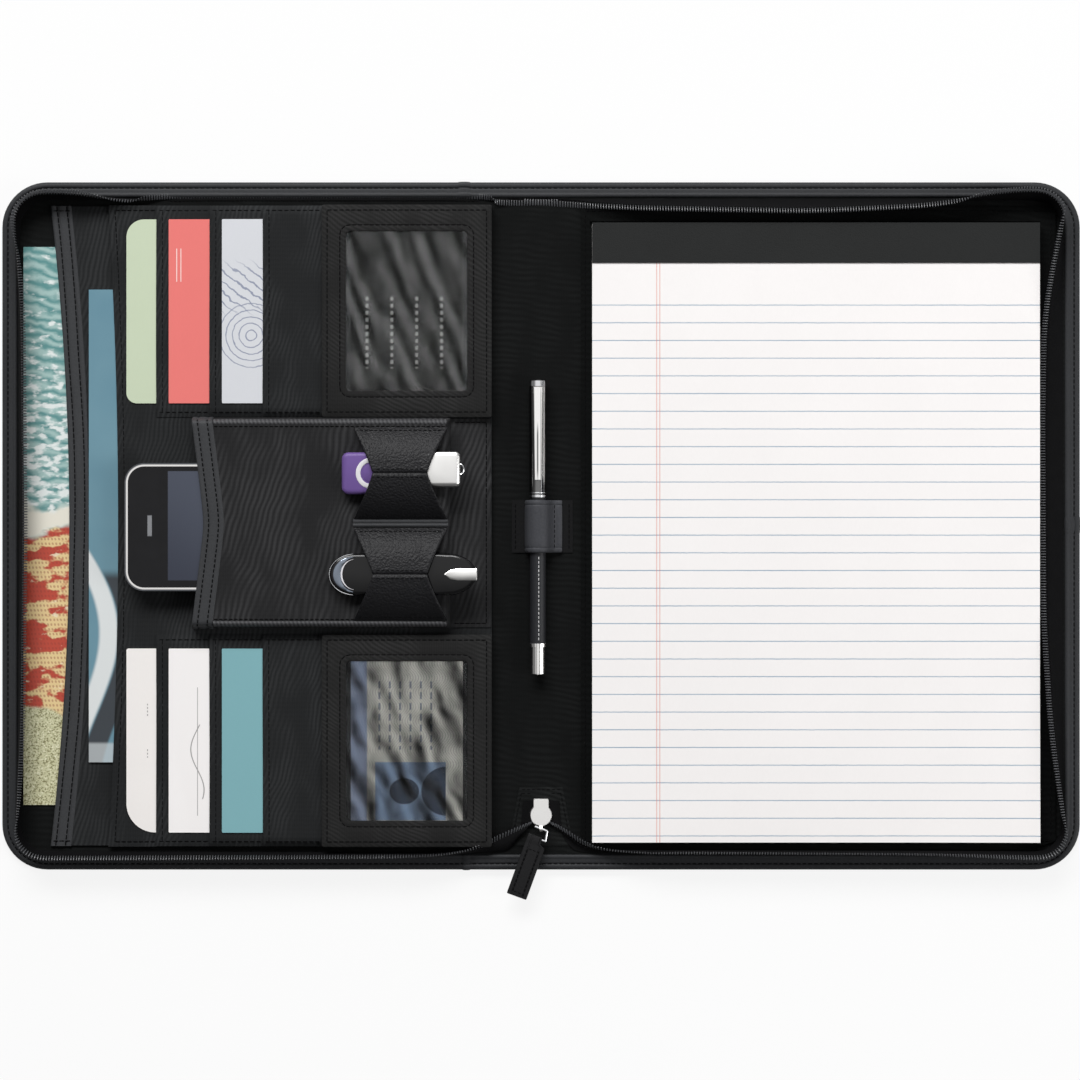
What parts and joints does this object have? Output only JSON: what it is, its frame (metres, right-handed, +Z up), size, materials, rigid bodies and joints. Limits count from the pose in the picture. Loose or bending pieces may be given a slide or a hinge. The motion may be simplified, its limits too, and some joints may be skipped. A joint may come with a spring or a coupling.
{
  "type": "zippered padfolio",
  "caption": "Black leatherette zippered padfolio lying open: ruled writing pad, pen in a loop, card slots, window pockets, phone pocket, stick loops and a zip around the edge",
  "frame": {"origin": "middle of the spine on its outer face, on the surface that the open padfolio lies on", "axes": "X across the open covers towards the pad, Y up the page along the spine, Z up from the outer face to the inside"},
  "size_m": [0.522, 0.3466, 0.0235],
  "materials": {
    "leatherette": "satin",
    "lining": "matte",
    "pocket_cloth": "matte",
    "board": "matte",
    "zip_tape": "matte",
    "zip_coil": "satin",
    "silver": "gloss",
    "paper_page": "matte",
    "pad_back": "matte",
    "pad_head": "satin",
    "film": "gloss",
    "card_green": "satin",
    "card_coral": "satin",
    "card_white": "satin",
    "card_cream": "satin",
    "card_ivory": "satin",
    "card_teal": "satin",
    "window_dark": "gloss",
    "window_pale": "gloss",
    "magazine": "gloss",
    "brochure": "gloss",
    "phone_metal": "gloss",
    "phone_glass": "gloss",
    "violet": "gloss",
    "white_shell": "gloss",
    "black_shell": "gloss",
    "bright_shell": "gloss",
    "pen_leather": "satin",
    "pen_chrome": "gloss"
  },
  "bodies": {
    "back_cover": {"back_skin": "leatherette", "back_board": "board", "back_lining": "lining", "back_binding": "leatherette", "back_zip_tape": "zip_tape", "back_zip_teeth": "zip_coil", "pad_pocket": "pocket_cloth", "pad_backing": "pad_back", "pad_sheets": "paper_page", "pad_binding": "pad_head"},
    "spine": {"spine_skin": "leatherette", "spine_board": "board", "spine_lining": "lining", "spine_binding": "leatherette", "zip_end_tab": "lining", "zip_tail": "zip_coil", "zip_head": "zip_coil", "pen_loop": "leatherette"},
    "front_cover": {"front_skin": "leatherette", "front_board": "board", "front_lining": "lining", "front_binding": "leatherette", "front_zip_tape": "zip_tape", "front_zip_teeth": "zip_coil", "organiser_seams": "pocket_cloth", "file_pocket": "pocket_cloth", "file_pocket_trim": "leatherette", "document_pocket": "pocket_cloth", "card_slots_upper": "pocket_cloth", "card_slots_lower": "pocket_cloth", "window_pockets": "pocket_cloth", "window_films": "film", "phone_pocket_gusset": "pocket_cloth", "phone_pocket_front": "pocket_cloth", "phone_pocket_trim": "leatherette", "usb_loops": "leatherette"},
    "top_sheet": {"top_sheet": "paper_page"},
    "zip_slider": {"zip_slider": "silver"},
    "pull_hook": {"pull_hook": "silver"},
    "pull_tab": {"pull_tab": "leatherette"},
    "pen": {"pen_barrel": "pen_leather", "pen_ferrule": "pen_chrome"},
    "pen_cap": {"pen_cap": "pen_chrome", "pen_clip": "pen_chrome"},
    "phone": {"phone_body": "phone_metal", "phone_glass": "phone_glass"},
    "usb_violet": {"usb_violet_body": "violet", "usb_violet_cap": "white_shell"},
    "usb_black": {"usb_black_body": "black_shell", "usb_black_cap": "bright_shell"},
    "magazine": {"magazine": "magazine"},
    "brochure": {"brochure": "brochure"},
    "card_green": {"card_green": "card_green"},
    "card_coral": {"card_coral": "card_coral"},
    "card_white": {"card_white": "card_white"},
    "card_cream": {"card_cream": "card_cream"},
    "card_ivory": {"card_ivory": "card_ivory"},
    "card_teal": {"card_teal": "card_teal"},
    "window_card_dark": {"window_card_dark": "window_dark"},
    "window_card_pale": {"window_card_pale": "window_pale"}
  },
  "joints": [
    {"name": "spine_fold", "type": "hinge", "parent": "back_cover", "child": "spine", "pos_m": [0.016, 0, 0.001], "axis": [0, 1, 0], "range_deg": [0, 90]},
    {"name": "cover_fold", "type": "hinge", "parent": "spine", "child": "front_cover", "pos_m": [-0.016, 0, 0.001], "axis": [0, 1, 0], "range_deg": [0, 90]},
    {"name": "sheet_turn", "type": "hinge", "parent": "back_cover", "child": "top_sheet", "pos_m": [0.13265, 0.1268, 0.0094], "axis": [1, 0, 0], "range_deg": [-165, 0]},
    {"name": "slider_run", "type": "slide", "parent": "spine", "child": "zip_slider", "axis": [0, 1, 0], "range_m": [0, 0.0026]},
    {"name": "pull_lift", "type": "hinge", "parent": "zip_slider", "child": "pull_hook", "pos_m": [0, -0.14625, 0.0073], "axis": [0.9397, -0.342, 0], "range_deg": [-100, 0]},
    {"name": "tab_flip", "type": "hinge", "parent": "pull_hook", "child": "pull_tab", "pos_m": [-0.00171, -0.15095, 0.0073], "axis": [0.9397, -0.342, 0], "range_deg": [-70, 0]},
    {"name": "pen_home", "type": "slide", "parent": "spine", "child": "pen", "axis": [0, -1, 0], "range_m": [-0.088, 0]},
    {"name": "cap_home", "type": "slide", "parent": "pen", "child": "pen_cap", "axis": [0, -1, 0], "range_m": [-0.045, 0]},
    {"name": "phone_home", "type": "slide", "parent": "front_cover", "child": "phone", "axis": [1, 0, 0], "range_m": [-0.045, 0]},
    {"name": "usb_violet_home", "type": "slide", "parent": "front_cover", "child": "usb_violet", "axis": [1, 0, 0], "range_m": [-0.06, 0]},
    {"name": "usb_black_home", "type": "slide", "parent": "front_cover", "child": "usb_black", "axis": [1, 0, 0], "range_m": [-0.06, 0]},
    {"name": "card_green_home", "type": "slide", "parent": "front_cover", "child": "card_green", "axis": [1, 0, 0], "range_m": [-0.042, 0]},
    {"name": "card_coral_home", "type": "slide", "parent": "front_cover", "child": "card_coral", "axis": [1, 0, 0], "range_m": [-0.042, 0]},
    {"name": "card_white_home", "type": "slide", "parent": "front_cover", "child": "card_white", "axis": [1, 0, 0], "range_m": [-0.042, 0]},
    {"name": "card_cream_home", "type": "slide", "parent": "front_cover", "child": "card_cream", "axis": [1, 0, 0], "range_m": [-0.042, 0]},
    {"name": "card_ivory_home", "type": "slide", "parent": "front_cover", "child": "card_ivory", "axis": [1, 0, 0], "range_m": [-0.042, 0]},
    {"name": "card_teal_home", "type": "slide", "parent": "front_cover", "child": "card_teal", "axis": [1, 0, 0], "range_m": [-0.042, 0]},
    {"name": "window_card_dark_home", "type": "slide", "parent": "front_cover", "child": "window_card_dark", "axis": [1, 0, 0], "range_m": [-0.07, 0]},
    {"name": "window_card_pale_home", "type": "slide", "parent": "front_cover", "child": "window_card_pale", "axis": [1, 0, 0], "range_m": [-0.07, 0]},
    {"name": "magazine_push", "type": "slide", "parent": "front_cover", "child": "magazine", "axis": [1, 0, 0], "range_m": [0, 0.018]},
    {"name": "brochure_home", "type": "slide", "parent": "front_cover", "child": "brochure", "axis": [1, 0, 0], "range_m": [-0.028, 0]}
  ],
  "couplings": [
    {"joint": "cover_fold", "follows": "spine_fold", "ratio": 1}
  ]
}
